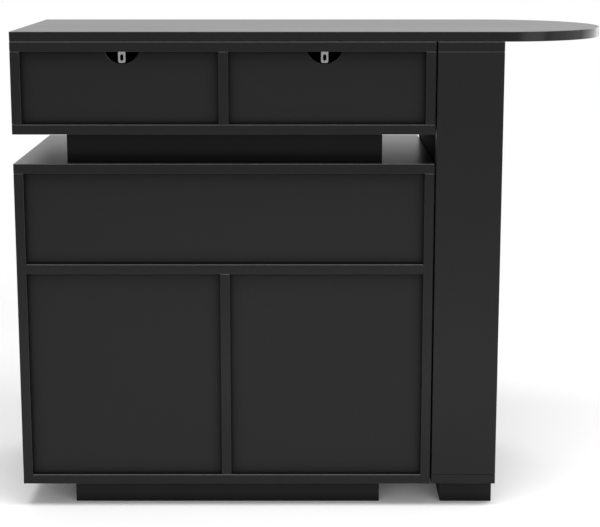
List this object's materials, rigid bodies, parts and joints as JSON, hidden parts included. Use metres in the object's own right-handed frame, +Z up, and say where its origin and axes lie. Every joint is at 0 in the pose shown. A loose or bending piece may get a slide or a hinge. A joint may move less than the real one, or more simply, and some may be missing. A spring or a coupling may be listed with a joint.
{
  "type": "bar table",
  "caption": "Counter-height bar table: a storage cabinet in two stacked blocks and a column carry a long top with one half-round end.",
  "frame": {"origin": "on the floor, below the centre of the table's bounding box", "axes": "+Z up; +X along the table towards the half-round end; +Y towards the drawers and doors, so the closed rear side faces -Y"},
  "size_m": [1.3429, 0.5, 1.1],
  "materials": {
    "black_board": "satin black melamine on board",
    "black_panel": "matt black thin panel",
    "drawer_board": "dark grey melamine on board",
    "zinc_steel": "zinc plated sheet steel",
    "beech": "raw beech dowel",
    "black_plastic": "moulded black plastic"
  },
  "bodies": {
    "carcass": {"tabletop": "black_board", "upper_top_board": "black_board", "upper_bottom_board": "black_board", "upper_side_left": "black_board", "upper_side_right": "black_board", "upper_divider": "black_board", "upper_back_left": "black_panel", "upper_back_right": "black_panel", "hanger_brackets": "zinc_steel", "wood_screws": "zinc_steel", "spacer_rear_board": "black_board", "spacer_front_board": "black_board", "spacer_end_boards": "black_board", "lower_top_board": "black_board", "lower_side_left": "black_board", "lower_side_right": "black_board", "middle_board": "black_board", "lower_divider": "black_board", "lower_bottom_board": "black_board", "lower_back_wide": "black_panel", "lower_back_left": "black_panel", "lower_back_right": "black_panel", "shelf_left": "black_board", "shelf_right": "black_board", "shelf_pins": "zinc_steel", "plinth_rear_board": "black_board", "plinth_front_board": "black_board", "plinth_end_boards": "black_board", "column_rear_board": "black_board", "column_front_board": "black_board", "column_side_left": "black_board", "column_side_right": "black_board", "column_top_board": "black_board", "column_bottom_board": "black_board", "column_foot": "black_board", "slide_cabinet_rails": "zinc_steel", "cam_locks": "zinc_steel", "dowels": "beech", "column_bolts": "zinc_steel", "push_latches": "black_plastic", "door_pivots": "zinc_steel"},
    "drawer_left": {"drawer_left_front": "black_board", "drawer_left_walls": "drawer_board", "drawer_left_bottom": "drawer_board", "drawer_left_rails": "zinc_steel"},
    "drawer_right": {"drawer_right_front": "black_board", "drawer_right_walls": "drawer_board", "drawer_right_bottom": "drawer_board", "drawer_right_rails": "zinc_steel"},
    "wide_drawer": {"wide_drawer_front": "black_board", "wide_drawer_walls": "drawer_board", "wide_drawer_bottom": "drawer_board", "wide_drawer_rails": "zinc_steel"},
    "drawer_left_middle": {"drawer_left_middle_rails": "zinc_steel"},
    "drawer_right_middle": {"drawer_right_middle_rails": "zinc_steel"},
    "wide_drawer_middle": {"wide_drawer_middle_rails": "zinc_steel"},
    "door_left": {"door_left": "black_board"},
    "door_right": {"door_right": "black_board"},
    "plunger_left": {"latch_plunger_left": "black_plastic"},
    "plunger_right": {"latch_plunger_right": "black_plastic"}
  },
  "joints": [
    {"name": "drawer_left_slide", "type": "slide", "parent": "carcass", "child": "drawer_left", "axis": [0, 1, 0], "range_m": [0, 0.38]},
    {"name": "drawer_left_middle_slide", "type": "slide", "parent": "carcass", "child": "drawer_left_middle", "axis": [0, 1, 0], "range_m": [0, 0.19]},
    {"name": "drawer_right_slide", "type": "slide", "parent": "carcass", "child": "drawer_right", "axis": [0, 1, 0], "range_m": [0, 0.38]},
    {"name": "drawer_right_middle_slide", "type": "slide", "parent": "carcass", "child": "drawer_right_middle", "axis": [0, 1, 0], "range_m": [0, 0.19]},
    {"name": "wide_drawer_slide", "type": "slide", "parent": "carcass", "child": "wide_drawer", "axis": [0, 1, 0], "range_m": [0, 0.38]},
    {"name": "wide_drawer_middle_slide", "type": "slide", "parent": "carcass", "child": "wide_drawer_middle", "axis": [0, 1, 0], "range_m": [0, 0.19]},
    {"name": "door_left_hinge", "type": "hinge", "parent": "carcass", "child": "door_left", "pos_m": [-0.6395, 0.243, 0.316], "axis": [0, 0, 1], "range_deg": [0, 100]},
    {"name": "door_right_hinge", "type": "hinge", "parent": "carcass", "child": "door_right", "pos_m": [0.2385, 0.243, 0.316], "axis": [0, 0, -1], "range_deg": [0, 100]},
    {"name": "plunger_left_slide", "type": "slide", "parent": "carcass", "child": "plunger_left", "axis": [0, -1, 0], "range_m": [0, 0.003], "stiffness_N_per_m": 250},
    {"name": "plunger_right_slide", "type": "slide", "parent": "carcass", "child": "plunger_right", "axis": [0, -1, 0], "range_m": [0, 0.003], "stiffness_N_per_m": 250}
  ],
  "couplings": [
    {"joint": "drawer_left_middle_slide", "follows": "drawer_left_slide", "ratio": 0.5},
    {"joint": "drawer_right_middle_slide", "follows": "drawer_right_slide", "ratio": 0.5},
    {"joint": "wide_drawer_middle_slide", "follows": "wide_drawer_slide", "ratio": 0.5}
  ]
}
